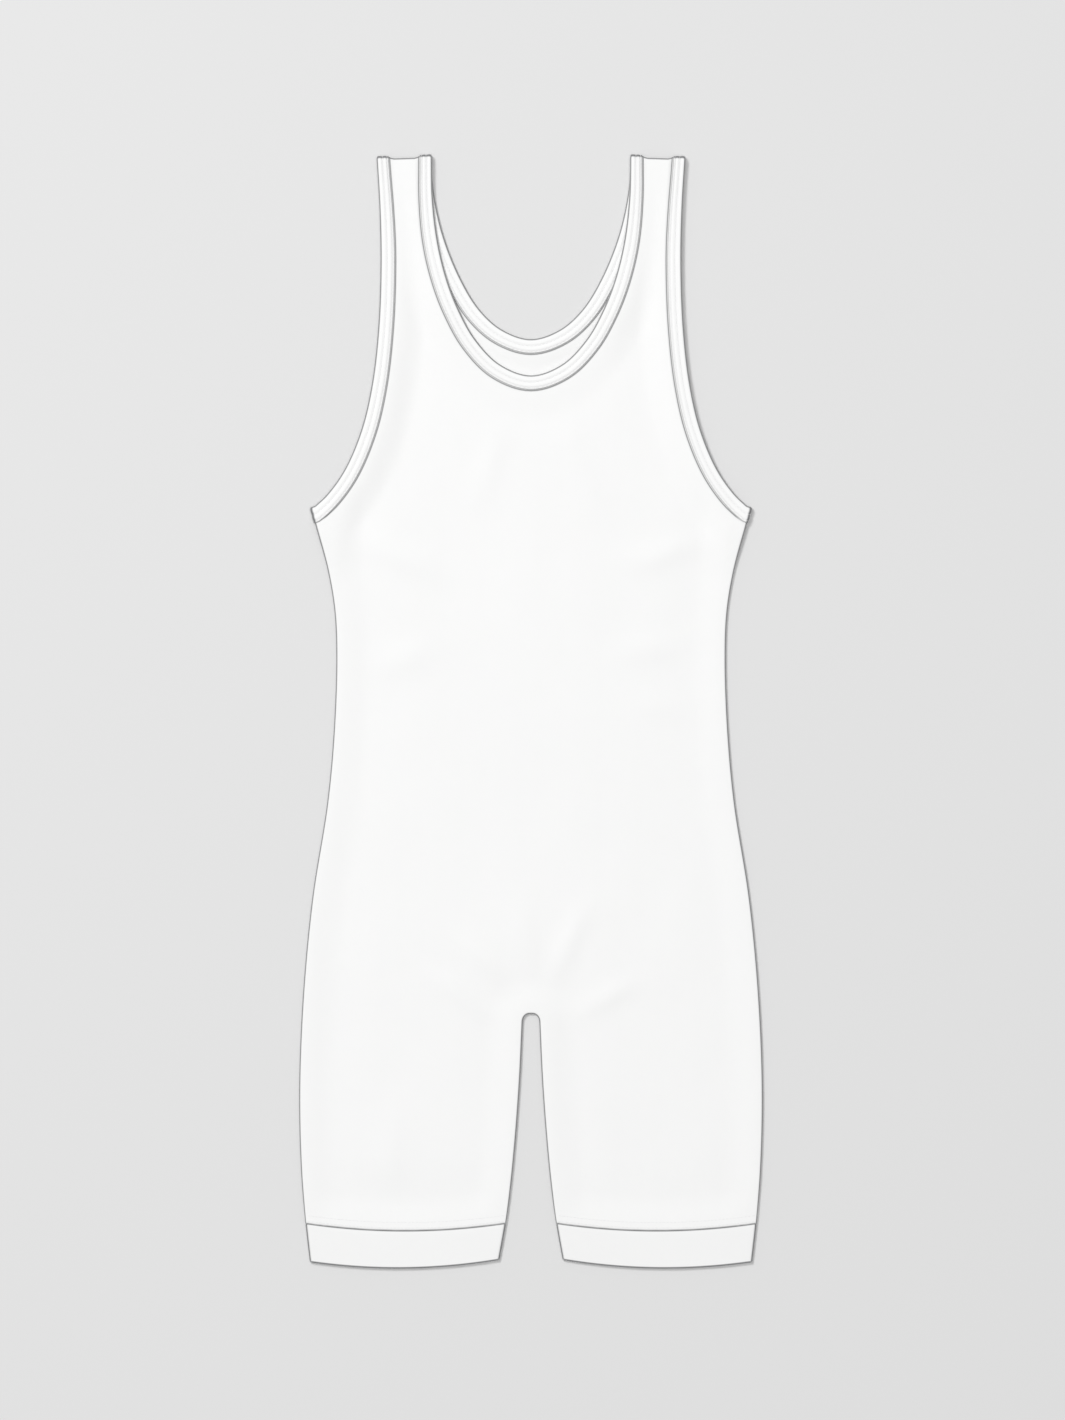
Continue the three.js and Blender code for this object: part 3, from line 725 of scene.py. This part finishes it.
def makePanel(face):
    bm = bmesh.new()
    neck = neckRun(face, panelCut["neckStep"])
    neck[0]["inside"] = neck[0]["at"] + alongShoulder * garment["stripWide"]
    armSteps = len(neck) - 1 + panelCut["chest"]
    arm = armholeRun(armSteps)
    arm[0]["inside"] = arm[0]["at"] - alongShoulder * garment["stripWide"]
    arch, inseam = archRun(panelCut["arch"]), inseamRun(panelCut["leg"], fine=True)
    below = sideRun(panelCut["body"] + panelCut["arch"] + panelCut["leg"], fromStep=True, fine=True)
    below[0] = {**belowCorner}
    innerEdge = [*arch, *inseam[1:]]

    def lay(at):
        return Vector((at.x, at.y, clothHeight(face, at))), (at.x * mm, at.y * mm)

    def dipAt(at, row):  # the strap's fold lies lower between the bindings
        if row > panelCut["dipRows"]:
            return 0
        edge = widthAt(at) - rawInset
        off = min((at - shoulderEnd).length for shoulderEnd in (neck[row]["at"], arm[row]["at"]))
        share = ease(edge, edge + panelCut["dipWithin"], off) * (1 - ease(0, panelCut["dipRows"], row))
        return panelCut["shoulderDip"] * share

    def acrossStrip(station, row):
        places = [station["at"].lerp(station["inside"], share) for share in stripShares(station["at"])]
        return [place - Vector((0, dipAt(place, row), 0)) for place in places]

    for run in (neck, arm):
        strips = [acrossStrip(station, row) for row, station in enumerate(run)]
        addGrid(bm, len(strips[0]) - 1, len(run) - 1, lambda c, r, strips=strips: lay(strips[r][c]))

    down = panelCut["chest"] + panelCut["body"]
    top, low = neck[-1]["inside"], arch[0]["at"]
    centre = [top.lerp(low, i / down) for i in range(1, down)]
    inner = [*[s["inside"] for s in neck], *centre, *[s["at"] for s in innerEdge]]
    outer = [*[s["inside"] for s in arm], *[s["at"] for s in below[1:]]]
    last = len(inner) - 1

    def bodyPlace(column, row):
        share = column / panelCut["across"]
        share = mix((1 - math.cos(share * math.pi)) / 2, share, panelCut["evenShare"])
        at = inner[row].lerp(outer[row], share)
        towardsHem = max(0, dropOf(inner[row]) - crotch["drop"]) / (bandSeam - crotch["drop"])
        at.y -= 4 * share * (1 - share) * garment["seamSag"] * towardsHem
        if row == last:
            at.y += garment["gap"] / 2
        at.y -= dipAt(at, row)
        return lay(at)

    addGrid(bm, panelCut["across"], last, bodyPlace)

    fold = panelCut["fold"]

    def rollPlace(stations, column, row):
        station = stations[row]
        turn = column / fold * math.pi / 2
        place, _ = quarterRoll(station["at"], station["out"], station["heights"], face, turn)
        reach = rollOf(station["heights"]) * turn
        flat = station["at"] + station["out"] * reach
        return place, (flat.x * mm, flat.y * mm)

    for station in (innerEdge[-1], below[-1]):
        station["at"] = station["at"] + Vector((0, garment["gap"] / 2, 0))
    underCorner = [{**corner, "at": at} for at in acrossStrip(arm[-1], armSteps)[:-1]]
    sideStations = [*underCorner, *below]
    overStations = []
    shoulderRow = [
        *acrossStrip(neck[0], 0)[:-1],
        *[bodyPlace(column, 0)[0] for column in range(panelCut["across"] + 1)],
        *acrossStrip(arm[0], 0)[-2::-1],
    ]
    for at in shoulderRow:
        overStations.append({"at": Vector((at.x, at.y, 0)), "out": shoulderOut, "heights": boundFold})
    for stations in (sideStations, innerEdge, overStations):
        addGrid(bm, fold, len(stations) - 1, lambda c, r, stations=stations: rollPlace(stations, c, r))

    sewTogether(bm, panelCut["merge"])
    bmesh.ops.mirror(bm, geom=[*bm.verts, *bm.edges, *bm.faces], matrix=Matrix(), merge_dist=0.02, axis="X")
    sewTogether(bm)
    if face == "front":
        for vert in bm.verts:
            vert.co.z += calmAt(vert.co) * reliefAt(Vector((vert.co.x, vert.co.y, 0)))
    facing = sum(face.normal.z * face.calc_area() for face in bm.faces)
    if (facing > 0) != (face == "front"):
        bmesh.ops.reverse_faces(bm, faces=bm.faces)
    area = sum(face.calc_area() for face in bm.faces) * mm * mm
    name, nodes = face + "Panel", [face + "_panel"]
    return finishPiece(bm, name, bodyKnit, nodes, garment["wall"], drawnIn=drawnIn(face)), area


frontPanel, frontArea = makePanel("front")
backPanel, backArea = makePanel("back")
print("panels", len(frontPanel.data.polygons), len(backPanel.data.polygons))

# The folded bindings. The profile runs from the slot round the turned edge to the nose: inward, and out.
bindingCut = {
    "step": 0.85, "rollSteps": 9, "column": 0.75, "slotOut": 0.81, "noseIn": 0.5, "mostOut": 1.8,
    "profile": [
        (1.0, 0.8), (6.0, 0.8), (11.6, 0.8), (11.6, 1.2), (11.3, 1.47), (10.7, 1.55), (10.1, 1.34),
        (9.5, 1.56), (8.6, 1.7), (7.4, 1.73), (6.3, 1.66), (5.6, 1.42), (4.9, 1.66), (3.8, 1.78), (2.4, 1.8),
        (1.5, 1.7), (0.95, 1.52), (0.58, 1.28), (0.3, 0.97), (0.1, 0.58), (0.0, 0.0),
    ],
    "stitchRows": (10.1, 5.6), "stitch": 3.0, "pucker": 0.1, "puckerWide": 0.8,
    "loose": 0.05, "looseLong": 17,
}


def overFold(at, out, hole, **more):
    stations = []
    steps = bindingCut["rollSteps"]
    for i in range(2 * steps + 2):
        face = "front" if i <= steps else "back"
        turn = (i if face == "front" else 2 * steps + 1 - i) / steps * math.pi / 2
        place, normal = quarterRoll(at, out, boundFold, face, turn)
        stations.append({"at": place, "normal": normal, "hole": hole, **more})
    return stations


def levelStations(run, face, heightOf):
    normal = up if face == "front" else -up
    stations = []
    for station in run:
        at = station["at"]
        raised = Vector((at.x, at.y, heightOf(dropOf(at))))
        stations.append({**station, "at": raised, "normal": normal})
    return stations


def mirrored(stations):
    def flip(v):
        return Vector((-v.x, v.y, v.z))

    return [{**s, **{key: flip(s[key]) for key in ("at", "normal", "hole")}} for s in stations]


def neckPath():
    front = neckRun("front", bindingCut["step"])
    back = neckRun("back", bindingCut["step"])
    half = levelStations(front[1:], "front", lambda drop: neckLevel("front", drop))[::-1]
    half += overFold(shoulder[0], shoulderOut, -alongShoulder)
    half += levelStations(back[1:], "back", lambda drop: neckLevel("back", drop))
    return half + mirrored(half[1:-1])[::-1]


def armholePath():
    run = armholeRun(round(armholeLength / bindingCut["step"]))
    downSide = -corner["out"].cross(up).normalized()
    hole = downSide if downSide.y > 0 else -downSide
    slant = 1 / run[-1]["hole"].dot(hole)
    for i, station in enumerate(run):
        turned = 1 - ease(0, turnWithin, (len(run) - 1 - i) * bindingCut["step"])
        station["hole"] = station["hole"].lerp(hole, turned).normalized()
        station["stretch"] = mix(1, slant, turned)
    path = levelStations(run[1:-1], "front", lambda drop: levels["bound"]["front"])
    path += overFold(corner["at"], corner["out"], hole, stretch=slant)
    path += levelStations(run[1:-1], "back", lambda drop: levels["bound"]["back"])[::-1]
    return path + overFold(shoulder[1], shoulderOut, alongShoulder)[::-1]


def onBinding(station, inward, out):
    scale = widthAt(station["at"]) / bindingWidth["body"]
    along = (rawInset - inward * scale) * station.get("stretch", 1)
    return station["at"] + station["hole"] * along + station["normal"] * out


def stitchPitch(length):  # the stitch length that goes a whole number of times into a path
    return length / round(length / bindingCut["stitch"])


def bindingSection(s, pitch):  # the profile at a distance along the path, pulled in at each needle hole
    phase = math.cos(2 * math.pi * s / pitch)
    loose = bindingCut["loose"] * noise.noise(Vector((s / bindingCut["looseLong"], 0.5, 0)))
    section = []
    for inward, out in bindingCut["profile"]:
        if out > bindingCut["slotOut"] and inward > bindingCut["noseIn"]:
            off = min(abs(inward - row) for row in bindingCut["stitchRows"])
            nearRow = math.exp(-((off / bindingCut["puckerWide"]) ** 2))
            out += -bindingCut["pucker"] * nearRow * (0.5 + 0.5 * phase) + loose
        section.append((inward, min(out, bindingCut["mostOut"])))
    return section + [(inward, -out) for inward, out in section[-2::-1]]


def pathReach(path):
    reach = [0]
    for i, station in enumerate(path):
        reach.append(reach[-1] + (path[(i + 1) % len(path)]["at"] - station["at"]).length)
    return reach


def makeBinding(path, name, nodes):
    bm = bmesh.new()
    reach = pathReach(path)
    sections = [bindingSection(s, stitchPitch(reach[-1])) for s in reach[:-1]]
    count = len(sections[0])

    def place(column, row):
        section = sections[row % len(path)]
        at = onBinding(path[row % len(path)], *section[column % count])
        return at, (column * bindingCut["column"] * mm, reach[row] * mm)

    addGrid(bm, count, len(path), place)
    sewTogether(bm)
    return finishPiece(bm, name, bindingKnit, nodes, rim="noseTilt"), reach[-1] * mm


neckLine = neckPath()
leftArmLine = armholePath()
rightArmLine = mirrored(leftArmLine)[::-1]
for name, path, node in (
    ("neckBinding", neckLine, "neck_binding"),
    ("armholeBindingLeft", leftArmLine, "armhole_binding_left"),
    ("armholeBindingRight", rightArmLine, "armhole_binding_right"),
):
    makeBinding(path, name, [node])

# The doubled leg bands, as a flattened ring with a rounded hem.
bandCut = {
    "across": 56, "end": 10, "length": 31.2, "around": 325, "rows": 8, "edgeSteps": 40, "column": 2.7,
    "edgeRound": 0.45, "edgeHold": 0.4, "hemTurns": (0, 0.35, 0.75, 1.15),
}


def bandSection():  # down from the seam in mm, and out from the middle of the wall
    half, length, bevel = garment["bandWall"] / 2, bandCut["length"], bandCut["edgeRound"]
    hold, rows = bandCut["edgeHold"], bandCut["rows"]
    section = [(0, half - bevel), (bevel * 0.3, half - bevel * 0.3), (bevel, half), (bevel + hold, half)]
    section += [*[(length * i / rows, half) for i in range(1, rows)], (length - half - hold, half)]
    section += [(length - half + half * math.sin(t), half * math.cos(t)) for t in bandCut["hemTurns"]]
    return [*section, (length, 0), *[(down, -out) for down, out in section[::-1]]]


def makeBand(mirror, name, nodes):
    bm = bmesh.new()
    edges = {}
    for edge, line in (("outer", "side"), ("inner", "inseam")):
        edges[edge] = runAlong(cutAt(edgeLine(line), bandSeam)[1], bandCut["edgeSteps"])
    radius = (levels["hem"]["front"] - levels["hem"]["back"]) / 2
    middle = (levels["hem"]["front"] + levels["hem"]["back"]) / 2
    roll = radius + garment["bandWall"] / 2
    section = bandSection()
    across, end = bandCut["across"], bandCut["end"]
    around = [("front", i / across) for i in range(across + 1)]
    around += [("outer", (i + 1) / (end + 1) * math.pi) for i in range(end)]
    around += [("back", 1 - i / across) for i in range(across + 1)]
    around += [("inner", math.pi - (i + 1) / (end + 1) * math.pi) for i in range(end)]

    def edgePlace(edge, share):
        at, beside = edges[edge][min(round(share * bandCut["edgeSteps"]), bandCut["edgeSteps"])]
        return at + beside * (roll if edge == "outer" else -roll)

    rows = {}
    for down, _ in section:
        share = down / bandCut["length"]
        rows[down] = edgePlace("outer", share), edgePlace("inner", share)

    def place(column, row):
        down, off = section[row % len(section)]
        outer, inner = rows[down]
        share = down / bandCut["length"]
        sag = mix(garment["seamSag"], garment["hemSag"], share)
        kind, value = around[column % len(around)]
        away = (outer - inner).normalized()
        if kind in ("front", "back"):
            at = inner.lerp(outer, value) + Vector((0, -4 * value * (1 - value) * sag, 0))
            at.z = levels["hem"][kind]
            normal = up if kind == "front" else -up
        else:
            side = away if kind == "outer" else -away
            normal = side * math.sin(value) + up * math.cos(value)
            at = (outer if kind == "outer" else inner).copy()
            at.z = middle
            at += normal * radius
        at.y -= garment["gap"] / 2 * (1 - share)
        return at + normal * off, (column * bandCut["column"] * mm, down * mm)

    addGrid(bm, len(around), len(section), place)
    sewTogether(bm)
    if mirror:
        bmesh.ops.scale(bm, vec=(-1, 1, 1), verts=bm.verts)
        bmesh.ops.recalc_face_normals(bm, faces=bm.faces)
    return finishPiece(bm, name, bandKnit, nodes, rim="noseTilt")


legBandLeft = makeBand(False, "legBandLeft", ["leg_band_left"])
legBandRight = makeBand(True, "legBandRight", ["leg_band_right"])
print("leg bands", len(legBandLeft.data.polygons))

# Sewing: one stitch, set down again and again along each seam.
sewing = {
    "thread": 0.36, "flatness": 0.75, "length": 2.5, "bindingOut": (1.5, 1.58),
    "bandRows": (2.2, 6.7), "bandPitch": 3.0, "bandLong": 160,
    "seamPitch": 3.2, "sideLong": 575, "inseamLong": 163, "underBinding": 5,
    "bridge": 1.9, "bridgeSlant": 0.35, "proud": 0.02,
}


def stitchMesh(length):
    thick = sewing["thread"]
    bm = bmesh.new()
    bmesh.ops.create_uvsphere(bm, u_segments=6, v_segments=5, radius=0.5)
    bm.verts.index_update()  # its faces come in another order each run, so they are sorted by their corners
    bm.faces.sort(key=lambda face: sum(2**vert.index for vert in face.verts))
    bmesh.ops.rotate(bm, matrix=Matrix.Rotation(math.pi / 2, 3, "Y"), verts=bm.verts)
    bmesh.ops.scale(bm, vec=(length, thick, thick * sewing["flatness"]), verts=bm.verts)
    mesh = bpy.data.meshes.new("stitch")
    bm.to_mesh(mesh)
    bm.free()
    return mesh


def sew(bm, stitch, at, along, normal):
    before = len(bm.verts)
    bm.from_mesh(stitch)
    bm.verts.ensure_lookup_table()
    along = along.normalized()
    beside = normal.cross(along).normalized()
    turned = Matrix((along, beside, along.cross(beside))).transposed().to_4x4()
    bmesh.ops.transform(bm, matrix=Matrix.Translation(at) @ turned, verts=bm.verts[before:])


def finishSewing(bm, name):
    return finishPiece(bm, name, threadFinish, sharpAngle=180)


def sewBinding(path, name):
    bm = bmesh.new()
    stitch = stitchMesh(sewing["length"])
    reach = pathReach(path)
    pitch = stitchPitch(reach[-1])
    for i in range(round(reach[-1] / pitch)):
        s = (i + 0.5) * pitch
        j = bisect.bisect_right(reach, s) - 1
        here, after = path[j], path[(j + 1) % len(path)]
        share = (s - reach[j]) / (reach[j + 1] - reach[j])
        for row, out in zip(bindingCut["stitchRows"], sewing["bindingOut"]):
            for side in (1, -1):
                a, b = onBinding(here, row, side * out), onBinding(after, row, side * out)
                normal = here["normal"] * side
                sew(bm, stitch, a.lerp(b, share), b - a, normal)
    return finishSewing(bm, name)


neckSewing = sewBinding(neckLine, "neckStitches")
leftArmSewing = sewBinding(leftArmLine, "armholeStitchesLeft")
rightArmSewing = sewBinding(rightArmLine, "armholeStitchesRight")
print("binding stitches", len(neckSewing.data.polygons), len(leftArmSewing.data.polygons))


def sewSeams():  # two rows over each band seam, and the overcast threads along the sides and inseams
    bm = bmesh.new()
    stitch = stitchMesh(sewing["length"])
    count = round(sewing["bandLong"] / sewing["bandPitch"])
    for face, normal in (("front", up), ("back", -up)):
        for lift in sewing["bandRows"]:
            for i in range(count):
                a, b = hemPoint((i + 0.3) / count), hemPoint((i + 0.7) / count)
                for sign in (1, -1):
                    ends = []
                    for at in (a, b):
                        z = clothHeight(face, at + Vector((0, lift, 0))) + normal.z * garment["wall"] / 2
                        ends.append(Vector((at.x * sign, at.y + lift, z)))
                    sew(bm, stitch, ends[0].lerp(ends[1], 0.5), ends[1] - ends[0], normal)
    bridge = stitchMesh(sewing["bridge"])
    side = sideRun(round(sewing["sideLong"] / sewing["seamPitch"]))[sewing["underBinding"] :]
    inner = inseamRun(round(sewing["inseamLong"] / sewing["seamPitch"]))[1:]
    for station in side + inner:
        out = station["out"]
        middle = (station["heights"]["front"] + station["heights"]["back"]) / 2
        edge = station["at"] + out * (rollOf(station["heights"]) + sewing["proud"])
        for sign in (1, -1):
            at = Vector((edge.x * sign, edge.y, middle))
            sew(bm, bridge, at, Vector((0, sewing["bridgeSlant"], 1)), Vector((out.x * sign, out.y, 0)))
    return finishSewing(bm, "seamStitches")


seamSewing = sewSeams()
print("seam stitches", len(seamSewing.data.polygons))

# Floor, light and camera.
studio = {
    "floor": 12.0, "floorColor": (0.7, 0.7, 0.7), "lens": 120.0, "sensor": 36.0, "world": 0.36,
    "overhead": {"place": (0.0, 0.0, 6.0), "size": 2.4, "power": 124},
    "key": {"place": (-2.7, 2.9, 6.0), "size": 1.7, "power": 255},
}
picture = {"width": 1065, "height": 1420, "centreX": 531.0, "topRow": 154.6, "bottomRow": 1267.8}
mPerPixel = (cadBox[1].y - cadBox[0].y) / (picture["bottomRow"] - picture["topRow"])


def makeFloor():
    bm = bmesh.new()
    bmesh.ops.create_grid(bm, x_segments=1, y_segments=1, size=studio["floor"] / 2)
    bmesh.ops.translate(bm, vec=(0, 0, -0.1 * mm), verts=bm.verts)
    mesh = bpy.data.meshes.new("studioFloor")
    bm.to_mesh(mesh)
    bm.free()
    floor = bpy.data.objects.new("studioFloor", mesh)
    bpy.context.collection.objects.link(floor)
    material = bpy.data.materials.new("floor paper")
    material.use_nodes = True
    shader = material.node_tree.nodes["Principled BSDF"]
    shader.inputs["Base Color"].default_value = (*studio["floorColor"], 1)
    shader.inputs["Roughness"].default_value = 0.9
    mesh.materials.append(material)


def addSoftbox(name):
    light = bpy.data.lights.new(name, "AREA")
    light.shape = "SQUARE"
    light.size = studio[name]["size"]
    light.energy = studio[name]["power"]
    lamp = bpy.data.objects.new(name, light)
    lamp.location = studio[name]["place"]
    lamp.rotation_euler = (-lamp.location).to_track_quat("-Z", "Y").to_euler()
    bpy.context.collection.objects.link(lamp)


def makeCamera():
    data = bpy.data.cameras.new("overhead")
    data.lens = studio["lens"]
    data.sensor_width = studio["sensor"]
    distance = studio["lens"] / studio["sensor"] * picture["height"] * mPerPixel
    camera = bpy.data.objects.new("overhead", data)
    across = (picture["width"] / 2 - picture["centreX"]) * mPerPixel
    down = (picture["height"] / 2 - picture["topRow"]) * mPerPixel
    camera.location = (across, cadBox[1].y - down, distance)
    data.clip_end = 50
    bpy.context.collection.objects.link(camera)
    bpy.context.scene.camera = camera


makeFloor()
addSoftbox("overhead")
addSoftbox("key")
world = bpy.data.worlds.new("studio")
bpy.context.scene.world = world
world.use_nodes = True
world.node_tree.nodes["Background"].inputs["Color"].default_value = (1, 1, 1, 1)
world.node_tree.nodes["Background"].inputs["Strength"].default_value = studio["world"]
bpy.context.scene.view_settings.view_transform = "Standard"
makeCamera()
print("stage ready")
